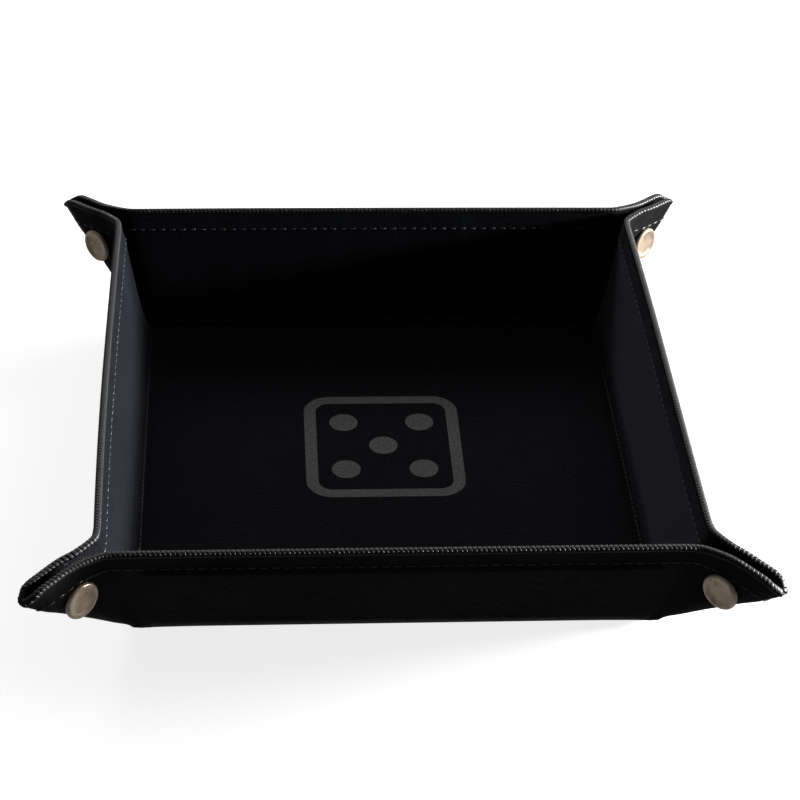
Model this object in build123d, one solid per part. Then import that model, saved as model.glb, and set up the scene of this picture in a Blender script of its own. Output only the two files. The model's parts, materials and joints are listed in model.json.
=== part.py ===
from build123d import *
from math import acos, atan, cos, degrees, radians, sin, sqrt, tan
import os

# A snap-corner dice tray. One square of leather, lined with velvet, is creased into a floor and four
# walls. Each corner square is pinched on its diagonal into an ear, and a snap holds its two halves.
#
# Every panel is drawn on the flat sheet first, with the velvet surface at z = 0 and the leather below
# it. An ear half is then turned about its crease, and each wall about its fold, as the sheet is raised.

# Flat sheet, in millimetres
SHEET = 254.0
FLOOR = 170.0                 # fold line to fold line
CORNER_RADIUS = 12.0          # rounded corners of the sheet
WALL = (SHEET - FLOOR) / 2    # a wall's width, from its fold to its rim
HALF = FLOOR / 2

# Raised shape, in degrees
LEAN = 15.0                   # a raised wall leans out from vertical by this much
RAISE = 90 - LEAN             # turn of a wall about its fold
CREASE = degrees(atan(sin(radians(LEAN))))            # crease of an ear, from the wall's end
EAR_TURN = degrees(acos(cos(radians(LEAN)) / sqrt(2)))  # turn of an ear half about its crease

# Layers, counted down from the velvet surface
LINING = 0.8
COVER = 1.0
FLOOR_BOARD = 1.5
WALL_BOARD = 1.2
SKIN = LINING + COVER
VELVET_HEIGHT = SKIN + FLOOR_BOARD   # velvet surface of the floor above the table

# Gaps and margins of the panels
FOLD_GAP = 0.2                # panel edge to fold line
DIAGONAL_GAP = 0.2            # ear half to the diagonal of its corner square
EAR_SPACE = 3.0               # velvet to velvet between the two halves of a snapped ear
CREASE_SHIFT = EAR_SPACE / sqrt(2)   # the crease starts this far along the fold from the corner
LINING_CREASE_GAP = 0.5
COVER_CREASE_GAP = 1.0        # leather folds towards itself at an ear's crease
THREAD_CREASE_GAP = 1.15
FLOOR_BOARD_MARGIN = 2.0
WALL_BOARD_FOLD_MARGIN = 2.5
WALL_BOARD_RIM_MARGIN = 8.5
WALL_BOARD_LENGTH = 160.0

# Thread
RIM_BAND = 1.4                # width of the overcast edge
RIM_PROUD = 0.2               # thread stands above the skin on each side
TOPSTITCH_INSET = 7.5         # row of stitches below the rim
TOPSTITCH_WIDTH = 0.6
TOPSTITCH_HEIGHT = 0.25
FOLD_SEAM_INSET = 1.0         # row of stitches inside the floor's fold
FOLD_SEAM_WIDTH = 0.5

# Snap fastener
SNAP_REACH = 33.5             # from the floor's corner to the snap, on the flat sheet
SNAP_ANGLE = 11.0             # between the snap and the diagonal, at the floor's corner
CAP_RADIUS = 6.25
CAP_HEIGHT = 1.5
CAP_ROUND = 1.0
CAP_DISH_RADIUS = 4.4
CAP_DISH_DEPTH = 0.3
SOCKET_RADIUS = 5.0
SOCKET_HEIGHT = 1.3
SOCKET_NECK_RADIUS = 3.1
SOCKET_BORE_RADIUS = 2.75
SOCKET_HOLE_RADIUS = 3.2
STUD_RADIUS = 4.8
STUD_HEIGHT = 1.0
STUD_HEAD_RADIUS = 2.3
STUD_HEAD_LENGTH = 2.4
STUD_HEAD_ROUND = 0.8
STUD_WAIST_RADIUS = 1.95
STUD_WAIST_LENGTH = 0.9
POST_RADIUS = 5.0
POST_HEIGHT = 0.9
POST_ROUND = 0.4
POST_SHANK_RADIUS = 1.2
POST_HOLE_RADIUS = 1.3
POST_SHANK_LENGTH = SKIN + STUD_HEIGHT + 1.5

# Each wall's turn about the vertical, the names of its two ends, and which ends carry a cap
WALLS = {
    "right": (0, ("back", "front"), ("back",)),
    "back": (90, ("left", "right"), ()),
    "left": (180, ("front", "back"), ("back",)),
    "front": (270, ("right", "left"), ("right", "left")),
}


def slab(outline, top, bottom):
    """A layer of the sheet between two depths below the velvet surface."""
    return Pos(0, 0, -bottom) * extrude(outline, amount=bottom - top)


def sheet_outline(inset):
    """The rounded square sheet, drawn in by inset on every side."""
    side = SHEET - 2 * inset
    return RectangleRounded(side, side, CORNER_RADIUS - inset)


def crease_y(x, gap):
    """Height of an ear's crease on the flat sheet at x, moved by gap along the wall."""
    return HALF - CREASE_SHIFT + (x - HALF) * tan(radians(CREASE)) + gap / cos(radians(CREASE))


def wall_outline(crease_gap, rim_inset):
    near = HALF + FOLD_GAP
    far = HALF + WALL - rim_inset
    near_y = crease_y(near, -crease_gap)
    far_y = crease_y(far, -crease_gap)
    return Polygon((near, -near_y), (far, -far_y), (far, far_y), (near, near_y), align=None)


def ear_outline(crease_gap, rim_inset):
    """Half of a corner square: between the crease, the diagonal and the sheet's edge."""
    near = HALF + FOLD_GAP
    far = HALF + WALL
    drop = DIAGONAL_GAP * sqrt(2)
    corners = (
        (near, crease_y(near, crease_gap)),
        (far, crease_y(far, crease_gap)),
        (far, far - drop),
        (near, near - drop),
    )
    return Polygon(*corners, align=None) & sheet_outline(rim_inset)


def wall_board_outline(grow):
    near = HALF + WALL_BOARD_FOLD_MARGIN - grow
    far = HALF + WALL - WALL_BOARD_RIM_MARGIN + grow
    return Pos((near + far) / 2, 0) * Rectangle(far - near, WALL_BOARD_LENGTH + 2 * grow)


def pocketed_cover(skin_outline, pocket_outline, board_outline, board_thickness):
    """Leather that lies on the lining at its margins and passes under a board in the middle."""
    margin = slab(skin_outline, LINING, SKIN)
    pocket = slab(pocket_outline, LINING, SKIN + board_thickness)
    return margin + pocket - slab(board_outline, LINING, LINING + board_thickness)


def make_floor():
    board = FLOOR - 2 * FLOOR_BOARD_MARGIN
    side = FLOOR - 2 * FOLD_GAP
    skin = Rectangle(side, side)
    seam_outer = FLOOR - 2 * FOLD_SEAM_INSET
    seam_inner = seam_outer - 2 * FOLD_SEAM_WIDTH
    seam = Rectangle(seam_outer, seam_outer) - Rectangle(seam_inner, seam_inner)
    pocket = board + 2 * COVER
    cover = pocketed_cover(skin, Rectangle(pocket, pocket), Rectangle(board, board), FLOOR_BOARD)
    return {
        "floor_cover": cover,
        "floor_lining": slab(skin, 0, LINING),
        "floor_board": slab(Rectangle(board, board), LINING, LINING + FLOOR_BOARD),
        "fold_stitching": slab(seam, -TOPSTITCH_HEIGHT, 0),
    }


def make_wall():
    skin = wall_outline(COVER_CREASE_GAP, RIM_BAND)
    board = wall_board_outline(0)
    rim = wall_outline(THREAD_CREASE_GAP, 0) - wall_outline(0, RIM_BAND)
    row_x = HALF + WALL - TOPSTITCH_INSET
    row_length = 2 * crease_y(row_x, -COVER_CREASE_GAP)
    row = Pos(row_x, 0) * Rectangle(TOPSTITCH_WIDTH, row_length)
    rim_thread = slab(rim, -RIM_PROUD, SKIN + RIM_PROUD)
    row_thread = slab(row, -TOPSTITCH_HEIGHT, 0)
    return {
        "cover": pocketed_cover(skin, wall_board_outline(COVER), board, WALL_BOARD),
        "lining": slab(wall_outline(LINING_CREASE_GAP, RIM_BAND), 0, LINING),
        "board": slab(board, LINING, LINING + WALL_BOARD),
        "stitching": Compound(children=[rim_thread, row_thread]),
    }


def snap_place():
    """Centre of the snap on the ear half's velvet surface."""
    angle = radians(45 - SNAP_ANGLE)
    return Pos(HALF + SNAP_REACH * cos(angle), HALF + SNAP_REACH * sin(angle), 0)


def disc(radius, top, bottom):
    return Pos(0, 0, -bottom) * Cylinder(radius, bottom - top, align=(Align.CENTER, Align.CENTER, Align.MIN))


def make_cap():
    body = disc(CAP_RADIUS, SKIN, SKIN + CAP_HEIGHT)
    outer_rim = body.edges().filter_by(GeomType.CIRCLE).sort_by(Axis.Z)[0]
    body = fillet(outer_rim, CAP_ROUND)
    return body - disc(CAP_DISH_RADIUS, SKIN + CAP_HEIGHT - CAP_DISH_DEPTH, SKIN + CAP_HEIGHT)


def make_socket():
    flange = disc(SOCKET_RADIUS, -SOCKET_HEIGHT, 0)
    neck = disc(SOCKET_NECK_RADIUS, 0, SKIN)
    return flange + neck - disc(SOCKET_BORE_RADIUS, -SOCKET_HEIGHT, SKIN)


def make_stud():
    waist_end = STUD_HEIGHT + STUD_WAIST_LENGTH
    head_end = STUD_HEIGHT + STUD_HEAD_LENGTH
    flange = disc(STUD_RADIUS, -STUD_HEIGHT, 0)
    waist = disc(STUD_WAIST_RADIUS, -waist_end, -STUD_HEIGHT)
    head = disc(STUD_HEAD_RADIUS, -head_end, -waist_end)
    head = fillet(head.edges().filter_by(GeomType.CIRCLE).sort_by(Axis.Z)[-1], STUD_HEAD_ROUND)
    bore = disc(POST_HOLE_RADIUS, -(POST_SHANK_LENGTH - SKIN), 0)
    return flange + waist + head - bore


def make_post():
    body = disc(POST_RADIUS, SKIN, SKIN + POST_HEIGHT)
    body = fillet(body.edges().filter_by(GeomType.CIRCLE).sort_by(Axis.Z)[0], POST_ROUND)
    return body + disc(POST_SHANK_RADIUS, SKIN - POST_SHANK_LENGTH, SKIN)


def make_ear(has_cap):
    hole = disc(SOCKET_HOLE_RADIUS if has_cap else POST_HOLE_RADIUS, 0, SKIN)
    place = snap_place()
    rim = ear_outline(THREAD_CREASE_GAP, 0) - ear_outline(0, RIM_BAND)
    pieces = {
        "cover": slab(ear_outline(COVER_CREASE_GAP, RIM_BAND), LINING, SKIN) - place * hole,
        "lining": slab(ear_outline(LINING_CREASE_GAP, RIM_BAND), 0, LINING) - place * hole,
        "stitching": slab(rim, -RIM_PROUD, SKIN + RIM_PROUD),
    }
    snap = {"cap": make_cap, "socket": make_socket} if has_cap else {"stud": make_stud, "post": make_post}
    return pieces, {name: place * make() for name, make in snap.items()}


def fold_ear(piece, at_far_end):
    """Turn an ear half about its crease, drawn for the wall's +y end, and mirror it for the other."""
    slope = radians(CREASE)
    crease = Axis((HALF, HALF - CREASE_SHIFT, 0), (cos(slope), sin(slope), 0))
    folded = piece.rotate(crease, -EAR_TURN)
    return folded if at_far_end else folded.mirror(Plane.XZ)


def raise_wall(piece, turn):
    """Turn a piece of the +x wall up about its fold, then round to its own side of the tray."""
    raised = piece.rotate(Axis((HALF, 0, 0), (0, 1, 0)), -RAISE)
    return raised.rotate(Axis.Z, turn)


def corner_name(wall, end):
    depth = wall if wall in ("front", "back") else end
    side = end if wall in ("front", "back") else wall
    return f"{depth}_{side}"


def make_tray():
    nodes = dict(make_floor())
    for wall, (turn, ends, capped_ends) in WALLS.items():
        for name, piece in make_wall().items():
            nodes[f"{wall}_wall_{name}"] = raise_wall(piece, turn)
        for end in ends:
            pieces, snap = make_ear(end in capped_ends)
            for name, piece in pieces.items():
                folded = fold_ear(piece, end == ends[0])
                nodes[f"{wall}_wall_{end}_ear_{name}"] = raise_wall(folded, turn)
            for name, piece in snap.items():
                folded = fold_ear(piece, end == ends[0])
                nodes[f"snap_{corner_name(wall, end)}_{name}"] = raise_wall(folded, turn)
    return {name: Pos(0, 0, VELVET_HEIGHT) * piece for name, piece in nodes.items()}


def main():
    os.makedirs("parts", exist_ok=True)
    for name, shape in make_tray().items():
        export_step(shape, f"parts/{name}.step")


main()
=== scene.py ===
import json
from math import atan, cos, pi, radians, sin, sqrt

import bpy
import numpy as np
from mathutils import Matrix, Vector
from mathutils.bvhtree import BVHTree

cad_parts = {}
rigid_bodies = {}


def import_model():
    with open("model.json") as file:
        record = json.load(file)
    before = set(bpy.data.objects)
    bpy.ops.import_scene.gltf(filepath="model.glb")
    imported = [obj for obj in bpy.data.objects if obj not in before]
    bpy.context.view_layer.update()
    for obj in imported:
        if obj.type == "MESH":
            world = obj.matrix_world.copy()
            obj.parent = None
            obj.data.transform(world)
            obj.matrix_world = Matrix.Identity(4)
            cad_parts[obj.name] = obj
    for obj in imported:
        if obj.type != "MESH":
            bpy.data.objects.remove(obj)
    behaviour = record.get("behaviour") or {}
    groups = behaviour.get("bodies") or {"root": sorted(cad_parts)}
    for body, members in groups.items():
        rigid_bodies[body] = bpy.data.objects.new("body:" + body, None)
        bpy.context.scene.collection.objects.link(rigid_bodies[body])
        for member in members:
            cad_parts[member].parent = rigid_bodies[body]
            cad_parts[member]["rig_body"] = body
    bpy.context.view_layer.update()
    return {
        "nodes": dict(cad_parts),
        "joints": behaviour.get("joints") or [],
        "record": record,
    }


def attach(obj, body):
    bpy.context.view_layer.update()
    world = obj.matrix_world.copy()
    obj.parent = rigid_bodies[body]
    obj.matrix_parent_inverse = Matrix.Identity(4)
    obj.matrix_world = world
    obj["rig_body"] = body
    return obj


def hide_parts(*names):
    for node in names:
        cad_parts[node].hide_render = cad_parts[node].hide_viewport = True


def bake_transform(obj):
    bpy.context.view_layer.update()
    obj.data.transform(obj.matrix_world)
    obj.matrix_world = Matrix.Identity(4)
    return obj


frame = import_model()

# A snap-corner dice tray. The whole sheet is laid out flat, folded as the joints say, softened at
# its folds, and given its layers. The thread is laid out on the flat sheet as well, and folded with
# it. Lengths are metres.

JOINTS = {joint["name"]: joint for joint in frame["joints"]}
COUPLINGS = {row["joint"]: row for row in frame["record"]["behaviour"]["couplings"]}

# Places taken from the frame
HALF_FLOOR = JOINTS["fold_right"]["pos_m"][0]
VELVET_Z = JOINTS["fold_right"]["pos_m"][2]
RAISE = radians(JOINTS["fold_front"]["range_deg"][1])
EAR_TURN = RAISE * COUPLINGS["crease_right_back"]["ratio"]
APEX_Y = JOINTS["crease_right_back"]["pos_m"][1]

# The flat sheet
HALF_SHEET = 0.127
WALL = HALF_SHEET - HALF_FLOOR
CORNER_RADIUS = 0.012
CORNER_CENTRE = HALF_SHEET - CORNER_RADIUS
SLOPE = cos(RAISE)                                 # of the ear's crease, from the geometry of the fold
CREASE_ANGLE = atan(SLOPE)
STRIP = HALF_FLOOR - APEX_Y                        # width of the fold strip, along the fold line
PARALLEL_Y = APEX_Y - 0.012                        # a wall's grid runs parallel to its crease from here
EAR_COLUMNS = 16
SAME_PLACE = 1e-6              # grid points nearer than this on the flat sheet are one

# Grid lines, as stretches of (end, step): outwards from the fold line, and from the floor's middle
WALL_GRID = ((0.006, 0.00075), (0.032, 0.002), (0.036, 0.0005), (WALL, 0.001))
FLOOR_GRID = ((0.070, 0.0025), (0.079, 0.0015), (APEX_Y, 0.0007), (HALF_FLOOR, 0.0007))

# Layers, down from the velvet surface
LINING = 0.0008
SKIN = 0.0018
WALL_BOARD = 0.0012
FLOOR_BOARD = 0.0015
BOARD_HALF_LENGTH = 0.080
BOARD_RIM_MARGIN = 0.0085
BOARD_STEP = 0.0012            # the leather comes down from a board's edge over about this much
BOARD_RIM_STEP = 0.3 * BOARD_STEP    # and ends this far past the edge at the rim
BOARD_END = (-0.0005, 0.0025)  # where the floor's board gives way to a wall's, from the fold line outwards
BOARD_CORNER = 0.0035          # the floor's board thins out this near to the floor's corners
CHANNEL_DEPTH = 0.00045        # of the channel that the seam along a floor fold lies in
CHANNEL_WIDTH = 0.0007

# Softness
CREASE_ZONE = 0.0075           # the leather bends over this much on each side of an ear's crease
FOLD_ZONE = 0.0045             # and this much on each side of a floor fold
SMOOTHING_ROUNDS = 60
DIAGONAL_ZONE = (0.0022, 0.0040)   # fully soft nearer to a corner's diagonal than this, to stiff
CREST = 0.0005                 # the leather of a corner's fold comes to a crest this much beyond its round
CREST_WIDTH = 0.0018
CREST_START = (0.002, 0.010)   # the crest rises over this stretch beyond the ear's apex

# How far the rims stand outwards of their rigid places: a wall's middle, and its (first, second) end
BOW = {"front": 0.0000, "back": 0.0004, "left": 0.0010, "right": 0.0004}
GIVE = {
    "front": (0.0028, 0.0028),
    "back": (0.0026, 0.0026),
    "left": (-0.0034, -0.0024),
    "right": (-0.0028, -0.0010),
}
GIVE_RISE = (-0.004, WALL * 1.15)   # the giving grows over this stretch, from the fold line outwards
GIVE_END = radians(31)         # direction from an ear's apex where the giving ends, short of the snap

# Lines of thread, from the sheet's edge and from the fold line
TOPSTITCH_INSET = 0.0075
SEAM_INSET = 0.0010

# Quarter turns from +x to each wall, and the wall's ends: first the one at +y before the turn
WALLS = {"right": 0, "back": 1, "left": 2, "front": 3}
ENDS = {
    "right": ("back", "front"),
    "back": ("left", "right"),
    "left": ("front", "back"),
    "front": ("right", "left"),
}


def smoothstep(x, low, high):
    t = np.clip((np.asarray(x, float) - low) / (high - low), 0, 1)
    return t * t * (3 - 2 * t)


def turned(points, origin, axis, angle):
    matrix = np.array(Matrix.Rotation(angle, 3, Vector(axis)))
    return (points - origin) @ matrix.T + origin


# ---------------------------------------------------------------- the flat sheet, and how it folds

def crease_y(v):
    """Where an ear's crease lies on the flat sheet, at distance v outside the fold line."""
    return APEX_Y + v * SLOPE


def outline_reach(angle):
    """From an ear's apex to the sheet's rounded edge, in the direction of angle from +x."""
    dx, dy = cos(angle), sin(angle)
    to_side = WALL / dx
    if APEX_Y + to_side * dy <= CORNER_CENTRE:
        return to_side
    ox, oy = HALF_FLOOR - CORNER_CENTRE, APEX_Y - CORNER_CENTRE
    b = ox * dx + oy * dy
    return -b + sqrt(b * b - (ox * ox + oy * oy - CORNER_RADIUS ** 2))


def grid_lines(stretches):
    """Places from 0 upwards, with even steps of about the given length in each stretch."""
    lines = [0.0]
    for end, step in stretches:
        start = lines[-1]
        count = max(1, round((end - start) / step))
        lines += list(np.linspace(start, end, count + 1)[1:])
    return lines


def wall_rows():
    """Shares of the wall's height with a grid row each, closer at the fold and the rim."""
    return [v / WALL for v in grid_lines(WALL_GRID)]


def floor_lines():
    """Grid lines of the floor's positive half, which the walls' columns meet at the fold."""
    return grid_lines(FLOOR_GRID)


def ear_fan(t):
    """Points of one ear half beyond its crease, at share t of the way from apex to edge."""
    points = []
    for angle in np.linspace(CREASE_ANGLE, pi / 4, EAR_COLUMNS + 1)[1:]:
        reach = outline_reach(angle) * t
        points.append((HALF_FLOOR + reach * cos(angle), APEX_Y + reach * sin(angle)))
    return points


def strip_points(t, count):
    """Points from the ear half's edge, which runs out from its apex, to the sheet's diagonal."""
    inner = ear_fan(t)[-1]
    reach = (CORNER_CENTRE - HALF_FLOOR + CORNER_RADIUS / sqrt(2)) * t
    outer = (HALF_FLOOR + reach, HALF_FLOOR + reach)
    shares = np.linspace(0, 1, count + 1)[1:]
    return [tuple(np.array(inner) * (1 - s) + np.array(outer) * s) for s in shares]


def sector_row(t):
    """One row of the +x wall with its ears, on the flat sheet: (x, y, part) from end to end."""
    v = t * WALL
    lines = [y for y in floor_lines() if y <= APEX_Y + 1e-9]
    strip_count = len(floor_lines()) - len(lines)
    half = []
    for y in lines:
        shift = smoothstep(y, 0, PARALLEL_Y) * v * SLOPE if y < PARALLEL_Y else v * SLOPE
        half.append((HALF_FLOOR + v, y + float(shift), "wall"))
    half += [(x, y, "ear") for x, y in ear_fan(t)]
    half += [(x, y, "strip") for x, y in strip_points(t, strip_count)]
    mirrored = [(x, -y, part) for x, y, part in reversed(half[1:])]
    return mirrored + half


def fold_sector(flat, part):
    """Raised places of points of the +x wall and its ears."""
    x, y = flat[:, 0], flat[:, 1]
    side = np.where(y < 0, -1.0, 1.0)
    points = np.column_stack((x, np.abs(y), np.full(len(x), VELVET_Z)))
    apex = np.array((HALF_FLOOR, APEX_Y, VELVET_Z))
    crease = (cos(CREASE_ANGLE), sin(CREASE_ANGLE), 0)
    is_ear = part == "ear"
    points[is_ear] = turned(points[is_ear], apex, crease, -EAR_TURN)
    fold = np.array((HALF_FLOOR, 0, VELVET_Z))
    raised = turned(points, fold, (0, 1, 0), -RAISE)
    is_strip = part == "strip"
    raised[is_strip] = fold_strip(flat[is_strip] * (1, 0) + np.abs(flat[is_strip]) * (0, 1))
    raised[:, 1] *= side
    return raised


def ear_direction():
    """Direction of the raised diagonal fold, at the +x +y corner."""
    flat = np.array([(cos(pi / 4), sin(pi / 4), 0)])
    folded = turned(flat, 0, (cos(CREASE_ANGLE), sin(CREASE_ANGLE), 0), -EAR_TURN)
    return turned(folded, 0, (0, 1, 0), -RAISE)[0]


def fold_strip(flat):
    """The narrow strip between the ear halves, which closes the slot between them on the outside."""
    along_flat = ((flat[:, 0] - HALF_FLOOR) + (flat[:, 1] - HALF_FLOOR)) / sqrt(2)
    across = (flat[:, 0] - flat[:, 1]) / sqrt(2)
    direction = ear_direction()
    slot = STRIP / sqrt(2)
    edge_start = np.array((HALF_FLOOR, APEX_Y, VELVET_Z))
    middle_start = np.array((HALF_FLOOR, HALF_FLOOR, VELVET_Z))
    share = np.clip(across / slot, 0, 1)[:, None]
    on_edge = edge_start + (along_flat[:, None] + slot) * direction
    on_middle = middle_start + along_flat[:, None] * direction
    return on_edge * share + on_middle * (1 - share)


def cross2(a, b):
    """The z of the cross product of two plane vectors."""
    return a[0] * b[1] - a[1] * b[0]


def give_of(flat, part, wall):
    """How far a wall's rim and its ears' upper parts give outwards from their folded places."""
    out, along = flat[:, 0] - HALF_FLOOR, np.abs(flat[:, 1])
    reach = np.hypot(out, along - APEX_Y)
    share = np.clip(along / (APEX_Y + out * SLOPE), 0, 1)
    at_end = np.where(flat[:, 1] < 0, GIVE[wall][1], GIVE[wall][0])
    middle = sum(GIVE[wall]) / 2 + BOW[wall]
    on_wall = (middle + (at_end - middle) * share ** 2) * smoothstep(out, *GIVE_RISE)
    angle = np.arctan2(along - APEX_Y, np.maximum(out, 1e-9))
    across = smoothstep(angle, CREASE_ANGLE, GIVE_END)
    on_ear = at_end * smoothstep(reach * cos(CREASE_ANGLE), *GIVE_RISE) * (1 - across)
    move = np.where(part == "wall", on_wall, np.where(part == "ear", on_ear, 0.0))
    return np.column_stack((move, np.zeros(len(move)), np.zeros(len(move))))


def quarter_turn(points, turns):
    """Points turned about z by a number of quarter turns."""
    c, s = [(1, 0), (0, 1), (-1, 0), (0, -1)][turns]
    out = np.array(points, float)
    out[:, 0], out[:, 1] = c * points[:, 0] - s * points[:, 1], s * points[:, 0] + c * points[:, 1]
    return out


def grid_faces(rows, columns, offset):
    return [
        (offset + i * columns + j, offset + (i + 1) * columns + j,
         offset + (i + 1) * columns + j + 1, offset + i * columns + j + 1)
        for i in range(rows - 1) for j in range(columns - 1)
    ]


class Sheet:
    """The whole sheet: flat places, folded places of the velvet surface, faces and their parts."""

    def __init__(self):
        self.flat, self.place, self.faces, self.part = [], [], [], []
        self.add_floor()
        for wall, turns in WALLS.items():
            self.add_sector(wall, turns)
        self.merge()
        self.soften()
        self.normal = self.vertex_normals()
        self.depth = self.leather_depth()
        self.tree = self.flat_tree()

    def add_floor(self):
        half = floor_lines()
        lines = np.array([-y for y in reversed(half[1:])] + half)
        count = len(lines)
        grid = np.array([(x, y) for x in lines for y in lines])
        self.flat.append(grid)
        self.place.append(np.column_stack((grid, np.full(len(grid), VELVET_Z))))
        self.faces += grid_faces(count, count, 0)
        self.part += ["floor"] * (count - 1) ** 2

    def add_sector(self, wall, turns):
        offset = sum(len(block) for block in self.flat)
        table = [sector_row(t) for t in wall_rows()]
        flat = np.array([(x, y) for row in table for x, y, _ in row])
        part = np.array([name for row in table for _, _, name in row])
        place = fold_sector(flat, part)
        place += give_of(flat, part, wall)
        self.flat.append(quarter_turn(flat, turns))
        self.place.append(quarter_turn(place, turns))
        columns = len(table[0])
        self.faces += grid_faces(len(table), columns, offset)
        names = [name for _, _, name in table[-1]]
        for _ in range(len(table) - 1):
            for j in range(columns - 1):
                end = ENDS[wall][0] if j >= columns // 2 else ENDS[wall][1]
                in_wall = names[j] == "wall" and names[j + 1] == "wall"
                self.part.append(f"{wall}_wall" if in_wall else f"{wall}_wall_{end}_ear")

    def merge(self):
        """Join the floor's and the walls' grids at the points that they share."""
        flat = np.vstack(self.flat)
        place = np.vstack(self.place)
        key = np.round(flat / SAME_PLACE).astype(np.int64)
        _, first, index = np.unique(key, axis=0, return_index=True, return_inverse=True)
        index = index.ravel()
        self.flat, self.place = flat[first], place[first]
        faces, part = [], []
        for face, name in zip(self.faces, self.part):
            ring = [int(index[v]) for v in face]
            ring = [v for n, v in enumerate(ring) if v != ring[n - 1]]
            if len(set(ring)) >= 3:
                faces.append(ring)
                part.append(name)
        self.faces, self.part = faces, np.array(part)

    def softness(self):
        """How far each vertex gives way, from 0 on the boards to 1 at a fold."""
        x, y = np.abs(self.flat[:, 0]), np.abs(self.flat[:, 1])
        long, short = np.maximum(x, y), np.minimum(x, y)
        from_fold = np.abs(long - HALF_FLOOR)
        fold = 1 - smoothstep(from_fold, 0.5 * FOLD_ZONE, FOLD_ZONE)
        from_crease = np.abs(short - crease_y(long - HALF_FLOOR)) * cos(CREASE_ANGLE)
        crease = 1 - smoothstep(from_crease, 0.5 * CREASE_ZONE, CREASE_ZONE)
        crease *= long > HALF_FLOOR - FOLD_ZONE
        from_diagonal = (long - short) / sqrt(2)
        strip = 1 - smoothstep(from_diagonal, *DIAGONAL_ZONE)
        strip *= long > HALF_FLOOR - FOLD_ZONE
        return np.maximum(np.maximum(fold, crease), strip)

    def edges(self):
        pairs = {tuple(sorted((face[n - 1], v))) for face in self.faces for n, v in enumerate(face)}
        return np.array(sorted(pairs))

    def boundary(self):
        """Edges with a face on one side only."""
        count = {}
        for face in self.faces:
            for n, v in enumerate(face):
                pair = tuple(sorted((face[n - 1], v)))
                count[pair] = count.get(pair, 0) + 1
        return np.array(sorted(pair for pair, uses in count.items() if uses == 1))

    def soften(self):
        """Round the folds: soft vertices move towards their neighbours, and the rim along itself."""
        edges, rim = self.edges(), self.boundary()
        on_rim = np.zeros(len(self.flat), bool)
        on_rim[rim.ravel()] = True
        give = 0.5 * self.softness()[:, None]
        length = np.linalg.norm(self.flat[edges[:, 0]] - self.flat[edges[:, 1]], axis=1)
        head = np.concatenate((edges[:, 0], edges[:, 1]))
        tail = np.concatenate((edges[:, 1], edges[:, 0]))
        pulls = ~on_rim[head] | on_rim[tail]
        weight = np.where(pulls, 1 / np.maximum(np.concatenate((length, length)), 1e-5), 0)
        total = np.bincount(head, weight, len(self.flat))
        for _ in range(SMOOTHING_ROUNDS):
            pull = [np.bincount(head, weight * self.place[tail, k], len(self.flat)) for k in range(3)]
            self.place += give * (np.column_stack(pull) / total[:, None] - self.place)

    def leather_depth(self):
        """From the velvet surface to the leather's outside: more where a board lies between them."""
        x, y = np.abs(self.flat[:, 0]), np.abs(self.flat[:, 1])
        long, short = np.maximum(x, y), np.minimum(x, y)
        past_fold = smoothstep(long, HALF_FLOOR + BOARD_END[0], HALF_FLOOR + BOARD_END[1])
        from_corner = np.hypot(HALF_FLOOR - long, HALF_FLOOR - short)
        on_floor = (1 - past_fold) * smoothstep(from_corner, 0.0, BOARD_CORNER)
        channel = CHANNEL_DEPTH * np.exp(-((long - HALF_FLOOR + SEAM_INSET) / CHANNEL_WIDTH) ** 2)
        crest = CREST * np.exp(-((long - short) / CREST_WIDTH) ** 2)
        crest = crest * smoothstep(short, APEX_Y + CREST_START[0], APEX_Y + CREST_START[1])
        rim, end = HALF_SHEET - BOARD_RIM_MARGIN, BOARD_HALF_LENGTH
        on_wall = past_fold * (1 - smoothstep(long, rim - BOARD_STEP, rim + BOARD_RIM_STEP))
        on_wall *= 1 - smoothstep(short, end - BOARD_STEP, end + BOARD_STEP)
        return SKIN + FLOOR_BOARD * on_floor + WALL_BOARD * on_wall + crest - channel

    def vertex_normals(self):
        normal = np.zeros_like(self.place)
        for face in self.faces:
            corners = self.place[face]
            cross = sum(np.cross(corners[n - 1], corners[n]) for n in range(len(face)))
            normal[face] += cross
        normal /= np.maximum(np.linalg.norm(normal, axis=1), 1e-15)[:, None]
        return normal

    def flat_tree(self):
        """A search tree over the flat sheet's triangles."""
        self.triangles = [(f[0], f[n], f[n + 1]) for f in self.faces for n in range(1, len(f) - 1)]
        corners = [(x, y, 0.0) for x, y in self.flat]
        return BVHTree.FromPolygons(corners, self.triangles)

    def frame_at(self, x, y):
        """Folded place, normal and leather depth of a point of the flat sheet."""
        place, _, index, _ = self.tree.find_nearest((x, y, 0.0))
        a, b, c = self.triangles[index]
        pa, pb, pc = self.flat[a], self.flat[b], self.flat[c]
        area = cross2(pb - pa, pc - pa)
        p = np.array((place.x, place.y))
        wb = cross2(p - pa, pc - pa) / area
        wc = cross2(pb - pa, p - pa) / area
        shares = np.array((1 - wb - wc, wb, wc))
        corners = [a, b, c]
        up = shares @ self.normal[corners]
        return shares @ self.place[corners], up / np.linalg.norm(up), shares @ self.depth[corners]


sheet = Sheet()

# Distances from the joint's axis to the start and end points that crossings() works out for a piece's fold
BEND_START = 0.0004
FOLD_BEND_END = 0.0035
CREASE_BEND_END = 0.0045


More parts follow.
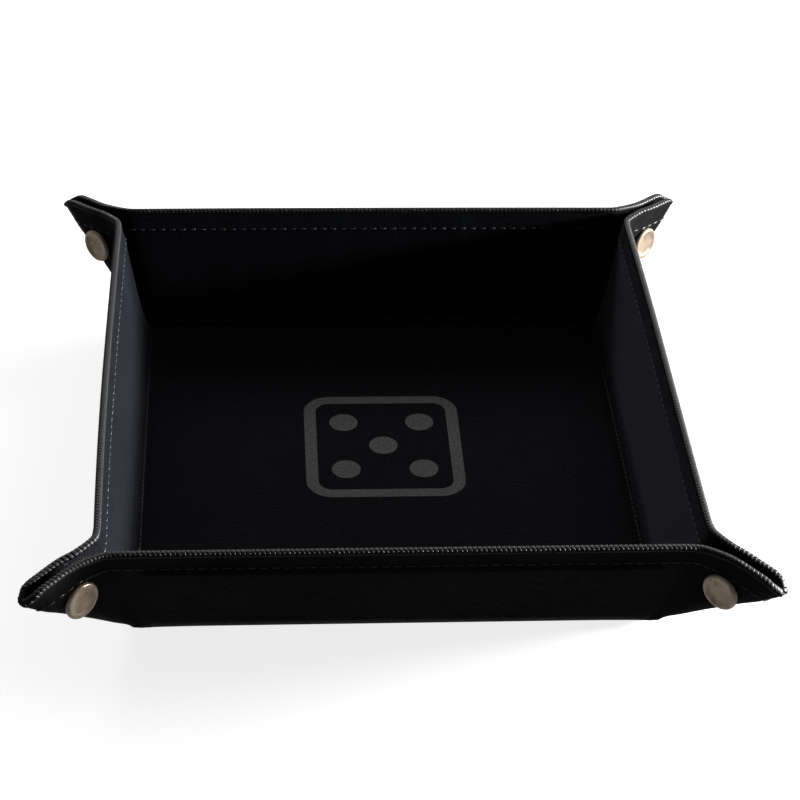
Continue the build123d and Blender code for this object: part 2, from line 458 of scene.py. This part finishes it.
def crossings(part):
    """For a part of the sheet: the two bodies of its joint, and where its bend starts and ends."""
    wall = part.split("_")[0]
    if part == "floor":
        return None
    turns = WALLS[wall]
    if part == f"{wall}_wall":
        along = np.array([(cos(RAISE / 2), 0, sin(RAISE / 2))])
        start = np.array([(HALF_FLOOR, 0, VELVET_Z)])
        bodies, reach = ("floor", part), FOLD_BEND_END
    else:
        side = 1 if part.split("_")[2] == ENDS[wall][0] else -1
        crease = raised_direction(CREASE_ANGLE, 0)
        before = raised_direction(CREASE_ANGLE + pi / 2, 0)
        after = raised_direction(CREASE_ANGLE + pi / 2, -EAR_TURN)
        along = np.array([before + after]) / np.linalg.norm(before + after) * (1, side, 1)
        start = np.array([(HALF_FLOOR, side * APEX_Y, VELVET_Z)])
        bodies, reach = (f"{wall}_wall", part), CREASE_BEND_END
    begin = start + BEND_START * along
    end = start + reach * along
    return bodies, quarter_turn(begin, turns)[0], quarter_turn(end, turns)[0]


def raised_direction(angle, ear_turn):
    """A direction of the flat sheet, turned with the ear half and then with the wall."""
    flat = np.array([(cos(angle), sin(angle), 0.0)])
    crease = (cos(CREASE_ANGLE), sin(CREASE_ANGLE), 0)
    return turned(turned(flat, 0, crease, ear_turn), 0, (0, 1, 0), -RAISE)[0]


def join_frame(obj, part):
    """Attach a floor piece to the floor's body; for any other piece, look up its joint's bodies and the ends
    of its bend, and bake its transform into its mesh.
    """
    crossing = crossings(part)
    if crossing is None:
        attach(obj, part)
        return
    (before, after), begin, end = crossing
    tuple(begin)
    tuple(end)
    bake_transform(obj)


def new_object(name, vertices, faces, material):
    mesh = bpy.data.meshes.new(name)
    mesh.from_pydata([tuple(v) for v in vertices], [], [tuple(f) for f in faces])
    mesh.materials.append(material)
    obj = bpy.data.objects.new(name, mesh)
    bpy.context.scene.collection.objects.link(obj)
    return obj


def shell(name, part, top_depth, bottom_depth, material):
    """A closed layer of one part of the sheet, between two depths under the velvet surface."""
    faces = [face for face, at in zip(sheet.faces, sheet.part) if at == part]
    used = sorted({v for face in faces for v in face})
    local = {v: n for n, v in enumerate(used)}
    count = len(used)
    place, normal = sheet.place[used], sheet.normal[used]
    top = place - normal * top_depth[used][:, None]
    bottom = place - normal * bottom_depth[used][:, None]
    upper = [[local[v] for v in face] for face in faces]
    lower = [[v + count for v in reversed(face)] for face in upper]
    uses = {}
    for face in upper:
        for n, v in enumerate(face):
            pair = (face[n - 1], v)
            uses.setdefault(tuple(sorted(pair)), []).append(pair)
    rim = [pairs[0] for pairs in uses.values() if len(pairs) == 1]
    sides = [(b, a, a + count, b + count) for a, b in rim]
    obj = new_object(name, np.vstack((top, bottom)), upper + lower + sides, material)
    mesh = obj.data
    mesh.polygons.foreach_set("use_smooth", [True] * len(mesh.polygons))
    vertex_normal = np.vstack((normal, -normal))
    loops = []
    for polygon in mesh.polygons:
        if polygon.index < 2 * len(upper):
            loops += [tuple(vertex_normal[v]) for v in polygon.vertices]
        else:
            loops += [tuple(polygon.normal)] * len(polygon.vertices)
    mesh.normals_split_custom_set(loops)
    return obj


# ---------------------------------------------------------------- materials

class Surface:
    """A procedural material: a Principled shader with a few helpers for its nodes."""

    def __init__(self, name, **values):
        self.material = bpy.data.materials.new(name)
        self.material.use_nodes = True
        self.tree = self.material.node_tree
        self.shader = self.tree.nodes["Principled BSDF"]
        for socket, value in values.items():
            self.shader.inputs[socket.replace("_", " ")].default_value = value
        self.place = self.tree.nodes.new("ShaderNodeTexCoord").outputs["Object"]

    def node(self, kind, **values):
        node = self.tree.nodes.new(kind)
        for socket, value in values.items():
            node.inputs[socket.replace("_", " ")].default_value = value
        return node

    def join(self, output, target):
        self.tree.links.new(output, target)

    def noise(self, scale, detail=3.0, roughness=0.6, distortion=0.0):
        node = self.node("ShaderNodeTexNoise", Scale=scale, Detail=detail, Roughness=roughness,
                         Distortion=distortion)
        self.join(self.place, node.inputs["Vector"])
        return node.outputs["Fac"]

    def cells(self, scale, randomness=1.0, smooth=0.4):
        node = self.tree.nodes.new("ShaderNodeTexVoronoi")
        node.feature = "SMOOTH_F1"
        node.inputs["Scale"].default_value = scale
        node.inputs["Randomness"].default_value = randomness
        node.inputs["Smoothness"].default_value = smooth
        self.join(self.place, node.inputs["Vector"])
        return node.outputs["Distance"]

    def spread(self, value, low, high, to_low, to_high):
        """The value, carried over from one range to another."""
        node = self.tree.nodes.new("ShaderNodeMapRange")
        self.join(value, node.inputs["Value"])
        for socket, number in zip(("From Min", "From Max", "To Min", "To Max"), (low, high, to_low, to_high)):
            node.inputs[socket].default_value = number
        return node.outputs["Result"]

    def math(self, kind, a, b):
        node = self.tree.nodes.new("ShaderNodeMath")
        node.operation = kind
        for value, target in zip((a, b), node.inputs):
            if isinstance(value, (int, float)):
                target.default_value = value
            else:
                self.join(value, target)
        return node.outputs[0]

    def colours(self, value, stops):
        """Base colour from a ramp: each stop is (position, colour)."""
        node = self.tree.nodes.new("ShaderNodeValToRGB")
        ramp = node.color_ramp
        ramp.elements.remove(ramp.elements[1])
        ramp.elements[0].position = stops[0][0]
        ramp.elements[0].color = (*stops[0][1], 1)
        for position, colour in stops[1:]:
            ramp.elements.new(position).color = (*colour, 1)
        self.join(value, node.inputs["Fac"])
        self.join(node.outputs["Color"], self.shader.inputs["Base Color"])

    def rough(self, value, low, high):
        self.join(self.spread(value, 0.3, 0.7, low, high), self.shader.inputs["Roughness"])

    def bumps(self, *layers):
        """Each layer is (height value, depth in metres, strength)."""
        previous = None
        for value, depth, strength in layers:
            node = self.node("ShaderNodeBump", Strength=strength, Distance=depth)
            self.join(value, node.inputs["Height"])
            if previous:
                self.join(previous, node.inputs["Normal"])
            previous = node.outputs["Normal"]
        self.join(previous, self.shader.inputs["Normal"])
        return self.material


def leather_surface():
    surface = Surface("leather_black", IOR=1.46)
    surface.shader.inputs["Specular IOR Level"].default_value = 0.08
    broad = surface.noise(38, 4)
    surface.colours(broad, [(0.3, (0.0007, 0.0007, 0.0009)), (0.7, (0.0019, 0.0019, 0.0021))])
    surface.rough(surface.noise(420, 2), 0.40, 0.56)
    pebbles = surface.cells(1250)
    grain = surface.noise(5200, 2)
    return surface.bumps((broad, 0.0006, 0.25), (pebbles, 0.00016, 0.55), (grain, 0.00004, 0.5))


def velvet_surface(name, sheen, darkest, lightest, painted_glints):
    surface = Surface(name, IOR=1.3, Sheen_Weight=sheen, Sheen_Roughness=0.30)
    surface.shader.inputs["Sheen Tint"].default_value = (0.80, 0.82, 0.95, 1)
    surface.shader.inputs["Specular IOR Level"].default_value = 0.05
    nap = surface.noise(55, 4, 0.6, 0.4)
    pile = surface.noise(1500, 4, 0.75)
    both = surface.math("ADD", surface.math("MULTIPLY", nap, 0.3), surface.math("MULTIPLY", pile, 0.7))
    # The last stop paints bright glints into the pile's colour: painted highlights standing in for sheen
    # catching the pile
    surface.colours(both, [(0.36, darkest), (0.56, lightest), (0.68, painted_glints)])
    surface.rough(pile, 0.82, 0.97)
    return surface.bumps((nap, 0.0007, 0.3), (pile, 0.0006, 0.9))


def thread_surface(name, shine, low, high, darkest, lightest):
    surface = Surface(name, IOR=1.5)
    surface.shader.inputs["Specular IOR Level"].default_value = shine
    fibre = surface.noise(3800, 3, 0.6)
    surface.colours(fibre, [(0.35, darkest), (0.65, lightest)])
    surface.rough(fibre, low, high)
    return surface.bumps((fibre, 0.00008, 0.7))


def print_surface():
    surface = Surface("print_grey", IOR=1.4, Sheen_Weight=0.3)
    speck = surface.noise(1500, 3, 0.75)
    surface.colours(speck, [
        (0.42, (0.007, 0.008, 0.010)),
        (0.50, (0.034, 0.035, 0.038)),
        (0.62, (0.085, 0.087, 0.094)),
    ])
    surface.rough(speck, 0.75, 0.92)
    return surface.bumps((speck, 0.0002, 0.6))


def metal_surface():
    surface = Surface("snap_pewter", Metallic=0.7)
    stain = surface.noise(240, 3)
    surface.colours(stain, [(0.3, (0.33, 0.25, 0.185)), (0.7, (0.50, 0.40, 0.315))])
    surface.rough(stain, 0.24, 0.36)
    return surface.bumps((surface.noise(2600, 2), 0.00002, 0.5))


LEATHER = leather_surface()
# The third colour of each velvet is painted glints: bright specks of painted highlight in the pile
VELVET = velvet_surface("velvet_black", 0.36, (0.0001, 0.0002, 0.0004), (0.0013, 0.0018, 0.0034),
                        (0.0120, 0.0125, 0.0150))
BORDER = velvet_surface("velvet_pressed", 0.20, (0.0006, 0.0008, 0.0014), (0.0038, 0.0046, 0.0066),
                        (0.0100, 0.0110, 0.0135))
THREAD = thread_surface("thread_black", 0.32, 0.36, 0.50, (0.0020, 0.0020, 0.0025), (0.0060, 0.0060, 0.0068))
STITCH = thread_surface("stitch_black", 0.5, 0.30, 0.45, (0.0044, 0.0045, 0.0055), (0.0180, 0.0186, 0.0215))
PRINT = print_surface()
METAL = metal_surface()


# ---------------------------------------------------------------- the leather and the velvet

def flat_area(part):
    """Area of a part on the flat sheet."""
    total = 0.0
    for face, at in zip(sheet.faces, sheet.part):
        if at == part:
            corners = sheet.flat[face]
            total += 0.5 * abs(sum(cross2(corners[n - 1], corners[n]) for n in range(len(face))))
    return float(total)


def flat_size(part):
    """Width and depth of a part on the flat sheet."""
    used = sorted({v for face, at in zip(sheet.faces, sheet.part) if at == part for v in face})
    low, high = sheet.flat[used].min(0), sheet.flat[used].max(0)
    return tuple(float(x) for x in high - low)


def press_border(velvet, part):
    """The velvet outside the row of topstitching is pressed flat, and looks darker."""
    faces = [face for face, at in zip(sheet.faces, sheet.part) if at == part]
    border = HALF_SHEET - TOPSTITCH_INSET
    outside = [int(np.abs(sheet.flat[face]).max(1).mean() > border) for face in faces]
    velvet.data.materials.append(BORDER)
    slots = np.zeros(len(velvet.data.polygons), int)
    slots[:len(faces)] = outside
    velvet.data.polygons.foreach_set("material_index", slots)


def make_layers(part):
    surface = np.zeros(len(sheet.flat))
    lining_depth = np.full(len(sheet.flat), LINING)
    velvet = shell(f"{part}_velvet", part, surface, lining_depth, VELVET)
    leather = shell(f"{part}_leather", part, lining_depth, sheet.depth, LEATHER)
    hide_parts(f"{part}_lining")
    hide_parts(f"{part}_cover")
    if not part.endswith("ear"):
        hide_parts(f"{part}_board")
    press_border(velvet, part)
    for obj, slot in ((velvet, "velvet"), (leather, "leather")):
        flat_size(part)
        flat_area(part)
        join_frame(obj, part)


PARTS = ["floor"] + [f"{wall}_wall" for wall in WALLS]
PARTS += [f"{wall}_wall_{end}_ear" for wall in WALLS for end in ENDS[wall]]
for part in PARTS:
    make_layers(part)


# ---------------------------------------------------------------- thread

def outline(inset, pitch):
    """Points of the sheet's edge, or of a line inset from it: (x, y, angle of the way outwards)."""
    radius = CORNER_RADIUS - inset
    side, arc = 2 * CORNER_CENTRE, radius * pi / 2
    length = 4 * (side + arc)
    count = round(length / pitch)
    for k in range(count):
        turns, s = divmod(k * length / count, side + arc)
        angle = turns * pi / 2
        if s < side:
            x, y = HALF_SHEET - inset, s - CORNER_CENTRE
        else:
            bend = (s - side) / radius
            x, y = CORNER_CENTRE + radius * cos(bend), CORNER_CENTRE + radius * sin(bend)
            angle += bend
        place = quarter_turn(np.array([(x, y)]), int(turns))[0]
        yield place[0], place[1], angle


def part_at(x, y):
    """Name of the part of the flat sheet that a point belongs to."""
    if max(abs(x), abs(y)) <= HALF_FLOOR:
        return "floor"
    wall = ("right" if x > 0 else "left") if abs(x) >= abs(y) else ("back" if y > 0 else "front")
    out, along = quarter_turn(np.array([(x, y)]), -WALLS[wall] % 4)[0]
    if abs(along) <= crease_y(out - HALF_FLOOR):
        return f"{wall}_wall"
    return f"{wall}_wall_{ENDS[wall][0 if along > 0 else 1]}_ear"


class Tubes:
    """Many short lengths of thread in one mesh."""

    SIDES = 6
    TAPER = 0.55

    def __init__(self):
        self.vertices, self.faces, self.slots = [], [], []

    def add(self, path, wide, half_width, half_height, slot):
        """A length along path, with its width along the direction wide, tapering at both ends."""
        path = np.array(path)
        step = np.gradient(path, axis=0)
        step /= np.linalg.norm(step, axis=1)[:, None]
        across = wide - step * (step @ wide)[:, None]
        across /= np.linalg.norm(across, axis=1)[:, None]
        over = np.cross(step, across)
        start, count = len(self.vertices), len(path)
        for n in range(count):
            size = self.TAPER if n in (0, count - 1) else 1.0
            for k in range(self.SIDES):
                angle = 2 * pi * k / self.SIDES
                offset = across[n] * half_width * cos(angle) + over[n] * half_height * sin(angle)
                self.vertices.append(path[n] + size * offset)
        for n in range(count - 1):
            for k in range(self.SIDES):
                a, b = start + n * self.SIDES + k, start + n * self.SIDES + (k + 1) % self.SIDES
                self.faces.append((a, b, b + self.SIDES, a + self.SIDES))
        self.faces.append(tuple(start + k for k in reversed(range(self.SIDES))))
        self.faces.append(tuple(start + (count - 1) * self.SIDES + k for k in range(self.SIDES)))
        self.slots += [slot] * ((count - 1) * self.SIDES + 2)


# Whip stitches over the edge: (distance outwards of the edge, height above the velvet), and then
# the same again below the leather
WHIP_PITCH = 0.00150
WHIP_REACH = 0.0015
WHIP_SLANT = 0.0014
WHIP_HALF_WIDTH = 0.00084
WHIP_HALF_HEIGHT = 0.00016
WHIP_BEND = [(-WHIP_REACH, -0.0001), (-0.0010, 0.00010), (-0.00035, 0.00014), (0.00008, -0.00006)]
WHIP_OUTERMOST = 0.00024
EDGE_SETBACK = 0.0001          # the edge's place is taken this far inside the sheet
INWARD_STEP = 0.0012           # and its outward direction over this much
JUST_INSIDE = 0.9999           # a point of the edge, scaled by this, lies within its part

# Topstitches, and the seams along the floor's folds: (share of the length, rise)
DASH_PITCH = 0.00375
DASH_LENGTH = 0.0027
DASH_HALF_WIDTH = 0.0003
DASH_HALF_HEIGHT = 0.00018
DASH_ARCH = ((0, -0.0002), (0.12, 0.00005), (0.5, 0.00014), (0.88, 0.00005), (1, -0.0002))
SEAM_PITCH = 0.0024
SEAM_LENGTH = 0.0018
SEAM_HALF_WIDTH = 0.00024
SEAM_HALF_RUN = 0.0820
THREAD_SLOT, STITCH_SLOT = 0, 1

threads = {part: Tubes() for part in PARTS}


def edge_frame(x, y, angle):
    """Place, outward, upward and along directions, and thickness, at a point of the folded sheet."""
    place, up, depth = sheet.frame_at(x, y)
    inner, _, _ = sheet.frame_at(x - INWARD_STEP * cos(angle), y - INWARD_STEP * sin(angle))
    out = place - inner
    out -= up * (out @ up)
    out /= np.linalg.norm(out)
    return place, out, up, np.cross(up, out), depth


def add_whip(x, y, angle):
    """A stitch over the sheet's edge, from the velvet round to the leather."""
    edge = (x - EDGE_SETBACK * cos(angle), y - EDGE_SETBACK * sin(angle))
    place, out, up, along, depth = edge_frame(*edge, angle)
    section = WHIP_BEND + [(WHIP_OUTERMOST, -depth / 2)]
    section += [(e, -depth - h) for e, h in reversed(WHIP_BEND)]
    path = [
        place + out * e + up * h + along * WHIP_SLANT * (n / (len(section) - 1) - 0.5)
        for n, (e, h) in enumerate(section)
    ]
    part = part_at(x * JUST_INSIDE, y * JUST_INSIDE)
    threads[part].add(path, along, WHIP_HALF_WIDTH, WHIP_HALF_HEIGHT, THREAD_SLOT)


def add_dash(x, y, angle, length, half_width):
    """A straight stitch that shows on both sides of the sheet."""
    place, out, up, along, depth = edge_frame(x, y, angle)
    for side, height in ((1, 0.0), (-1, -depth)):
        path = [
            place + along * length * (share - 0.5) + up * (height + side * rise)
            for share, rise in DASH_ARCH
        ]
        threads[part_at(x, y)].add(path, out, half_width, DASH_HALF_HEIGHT, STITCH_SLOT)


for x, y, angle in outline(0, WHIP_PITCH):
    add_whip(x, y, angle)
for x, y, angle in outline(TOPSTITCH_INSET, DASH_PITCH):
    add_dash(x, y, angle, DASH_LENGTH, DASH_HALF_WIDTH)
for turns in range(4):
    for along in np.arange(-SEAM_HALF_RUN, SEAM_HALF_RUN + 0.0001, SEAM_PITCH):
        x, y = quarter_turn(np.array([(HALF_FLOOR - SEAM_INSET, along)]), turns)[0]
        add_dash(x, y, turns * pi / 2, SEAM_LENGTH, SEAM_HALF_WIDTH)

for part, tubes in threads.items():
    obj = new_object(f"{part}_thread", tubes.vertices, tubes.faces, THREAD)
    obj.data.materials.append(STITCH)
    obj.data.polygons.foreach_set("material_index", tubes.slots)
    obj.data.polygons.foreach_set("use_smooth", [True] * len(obj.data.polygons))
    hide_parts("fold_stitching" if part == "floor" else f"{part}_stitching")
    join_frame(obj, part)


# ---------------------------------------------------------------- snaps

# (radius, height above the leather) in millimetres
CAP_PROFILE = [(0, 1.00), (1.6, 0.98), (3.3, 1.00), (4.0, 1.10), (4.5, 1.34), (4.9, 1.48), (5.3, 1.50),
               (5.7, 1.42), (6.0, 1.20), (6.2, 0.85), (6.25, 0.5), (6.2, 0.15), (6.0, -0.05), (0, -0.05)]
POST_PROFILE = [(0, 0.45), (1.5, 0.45), (2.0, 0.75), (2.6, 0.90), (3.6, 0.90), (4.3, 0.82), (4.8, 0.60),
                (5.0, 0.30), (4.95, 0.0), (4.7, -0.05), (0, -0.05)]
SNAP_SEGMENTS = 72

# Where a snap's middle lies on the flat sheet, from the floor's corner: how far, and how far off
# the diagonal
SNAP_REACH = 0.0335
SNAP_ANGLE = radians(11)


def snap_seat(ear):
    """Where a snap's outer piece sits on the leather of an ear half, and the direction it faces."""
    wall, _, end, _ = ear.split("_")
    side = 1 if end == ENDS[wall][0] else -1
    angle = pi / 4 - SNAP_ANGLE
    flat = (HALF_FLOOR + SNAP_REACH * cos(angle), side * (HALF_FLOOR + SNAP_REACH * sin(angle)))
    x, y = quarter_turn(np.array([flat]), WALLS[wall])[0]
    place, up, depth = sheet.frame_at(x, y)
    return Vector(place - up * depth), -Vector(up)


def lathe(name, profile, base, axis):
    """A turned piece. The profile goes from the middle outwards and round to the base."""
    side = axis.orthogonal().normalized()
    other = axis.cross(side)
    vertices, faces, rings = [], [], []
    for radius, height in profile:
        middle = base + axis * height / 1000
        if radius == 0:
            rings.append([len(vertices)] * SNAP_SEGMENTS)
            vertices.append(middle)
            continue
        rings.append([len(vertices) + k for k in range(SNAP_SEGMENTS)])
        for k in range(SNAP_SEGMENTS):
            angle = 2 * pi * k / SNAP_SEGMENTS
            vertices.append(middle + (side * cos(angle) + other * sin(angle)) * radius / 1000)
    for inner, outer in zip(rings, rings[1:]):
        for k in range(SNAP_SEGMENTS):
            n = (k + 1) % SNAP_SEGMENTS
            corners = [inner[k], outer[k], outer[n], inner[n]]
            faces.append(list(dict.fromkeys(corners)))
    obj = new_object(name, vertices, faces, METAL)
    obj.data.polygons.foreach_set("use_smooth", [True] * len(faces))
    return obj


for end in ("front", "back"):
    for side in ("left", "right"):
        snap = f"snap_{end}_{side}"
        for piece, shown_as, profile in (("cap", "button", CAP_PROFILE), ("post", "rivet", POST_PROFILE)):
            body = frame["nodes"][f"{snap}_{piece}"]["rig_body"]
            base, axis = snap_seat(body)
            obj = lathe(f"{snap}_{shown_as}", profile, base, axis)
            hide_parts(f"{snap}_{piece}")
            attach(obj, body)
        for piece in ("socket", "stud"):
            node = frame["nodes"][f"{snap}_{piece}"]
            node.data.materials.clear()
            node.data.materials.append(METAL)


# ---------------------------------------------------------------- the print on the floor

PRINT_HALF_WIDTH = 0.0275
PRINT_HALF_DEPTH = 0.0290
PRINT_CENTRE_Y = 0.006
PRINT_CORNER = 0.009
PRINT_LINE = 0.0042
PIP_RADIUS = 0.0050
PIP_CORE = 0.0002              # a pip is a ring round this much
PIP_SPREAD = 0.0135
PIP_SEGMENTS = 48
PRINT_THICKNESS = 0.00012


def rounded_loop(half_width, half_depth, radius, count=16):
    """A rectangle with rounded corners, about the print's middle."""
    points = []
    for turns, (sx, sy) in enumerate(((1, 1), (-1, 1), (-1, -1), (1, -1))):
        for angle in np.linspace(turns * pi / 2, (turns + 1) * pi / 2, count):
            x = sx * (half_width - radius) + radius * cos(angle)
            y = sy * (half_depth - radius) + radius * sin(angle)
            points.append((x, PRINT_CENTRE_Y + y))
    return points


def printed(outer, inner, vertices, faces):
    """A flat raised band between two loops."""
    top, start, n = VELVET_Z + PRINT_THICKNESS, len(vertices), len(outer)
    for loop, z in ((outer, top), (inner, top), (inner, VELVET_Z), (outer, VELVET_Z)):
        vertices += [(x, y, z) for x, y in loop]
    for k in range(n):
        m = (k + 1) % n
        for ring in range(4):
            a, b = start + ring * n, start + (ring + 1) % 4 * n
            faces.append((a + k, a + m, b + m, b + k))


def circle(x, y, radius):
    angles = np.linspace(0, 2 * pi, PIP_SEGMENTS + 1)[:-1]
    return [(x + radius * cos(a), y + radius * sin(a)) for a in angles]


def make_print():
    """The face of a die, in outline, with five pips."""
    vertices, faces = [], []
    frame_line = [
        rounded_loop(PRINT_HALF_WIDTH - line, PRINT_HALF_DEPTH - line, PRINT_CORNER - line)
        for line in (0, PRINT_LINE)
    ]
    printed(*frame_line, vertices, faces)
    for cx, cy in ((0, 0), (1, 1), (-1, 1), (-1, -1), (1, -1)):
        x, y = cx * PIP_SPREAD, PRINT_CENTRE_Y + cy * PIP_SPREAD
        printed(circle(x, y, PIP_RADIUS), circle(x, y, PIP_CORE), vertices, faces)
    obj = new_object("floor_print", vertices, faces, PRINT)
    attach(obj, "floor")


make_print()


# ---------------------------------------------------------------- studio

STAGE_Z = -0.0003              # just under the tray, so that no two faces coincide
LOOK_AT = Vector((0.0078, 0.0375, 0.0))
CAMERA_DISTANCE = 0.829
CAMERA_PITCH = radians(36.1)
CAMERA_YAW = radians(4.6)
CAMERA_ROLL = radians(2.24)
CAMERA_LENS = 102.5
CAMERA_SENSOR = 36
STAGE_HALF_SIZE = 3.0
STAGE_GLOW = 0.82
WORLD_STRENGTH = 0.26


def make_camera():
    ahead = cos(CAMERA_PITCH)
    forward = Vector((sin(CAMERA_YAW) * ahead, cos(CAMERA_YAW) * ahead, -sin(CAMERA_PITCH)))
    level = Vector((cos(CAMERA_YAW), -sin(CAMERA_YAW), 0))
    above = level.cross(forward)
    right = level * cos(CAMERA_ROLL) + above * sin(CAMERA_ROLL)
    up = above * cos(CAMERA_ROLL) - level * sin(CAMERA_ROLL)
    data = bpy.data.cameras.new("camera")
    data.lens, data.sensor_width = CAMERA_LENS, CAMERA_SENSOR
    camera = bpy.data.objects.new("camera", data)
    turn = Matrix((right, up, -forward)).transposed().to_4x4()
    camera.matrix_world = Matrix.Translation(LOOK_AT - forward * CAMERA_DISTANCE) @ turn
    bpy.context.scene.collection.objects.link(camera)
    bpy.context.scene.camera = camera


def add_light(name, place, target, size, power):
    data = bpy.data.lights.new(name, "AREA")
    data.shape = "RECTANGLE"
    data.size, data.size_y = size
    data.energy = power
    light = bpy.data.objects.new(name, data)
    light.location = place
    light.rotation_euler = (Vector(target) - Vector(place)).to_track_quat("-Z", "Y").to_euler()
    bpy.context.scene.collection.objects.link(light)


def make_stage():
    surface = Surface("paper_white", Roughness=0.9, IOR=1.2, Emission_Color=(1, 1, 1, 1),
                      Emission_Strength=STAGE_GLOW)
    tone = surface.noise(3, 2)
    surface.colours(tone, [(0.3, (0.45, 0.45, 0.45)), (0.7, (0.50, 0.50, 0.50))])
    material = surface.bumps((surface.noise(900, 2), 0.00002, 0.2))
    size = STAGE_HALF_SIZE
    corners = [(x * size, y * size, STAGE_Z) for x, y in ((-1, -1), (1, -1), (1, 1), (-1, 1))]
    floor = new_object("stage_floor", corners, [(0, 1, 2, 3)], material)
    floor.visible_glossy = False    # or the black leather would mirror the paper


def make_world():
    """Even white light, weaker from the front (-y)."""
    world = bpy.data.worlds.new("studio")
    world.use_nodes = True
    back = world.node_tree.nodes["Background"]
    back.inputs["Color"].default_value = (1, 1, 1, 1)
    back.inputs["Strength"].default_value = WORLD_STRENGTH
    place = world.node_tree.nodes.new("ShaderNodeTexCoord")
    split = world.node_tree.nodes.new("ShaderNodeSeparateXYZ")
    shade = world.node_tree.nodes.new("ShaderNodeMapRange")
    for socket, number in (("From Min", -0.5), ("From Max", 0.6), ("To Min", 0.04), ("To Max", 1.0)):
        shade.inputs[socket].default_value = number
    world.node_tree.links.new(place.outputs["Generated"], split.inputs[0])
    world.node_tree.links.new(split.outputs["Y"], shade.inputs["Value"])
    world.node_tree.links.new(shade.outputs["Result"], back.inputs["Color"])
    bpy.context.scene.world = world
    bpy.context.scene.view_settings.view_transform = "Standard"


make_camera()
make_stage()
make_world()
add_light("key_right", (1.15, 0.16, 0.235), (-0.09, 0, 0.03), (0.6, 0.09), 86)
add_light("back_left", (-0.40, 1.05, 0.68), (0, 0, 0.02), (0.45, 0.35), 3.5)
add_light("back_right", (0.42, 1.05, 0.68), (0, 0, 0.02), (0.45, 0.35), 5)
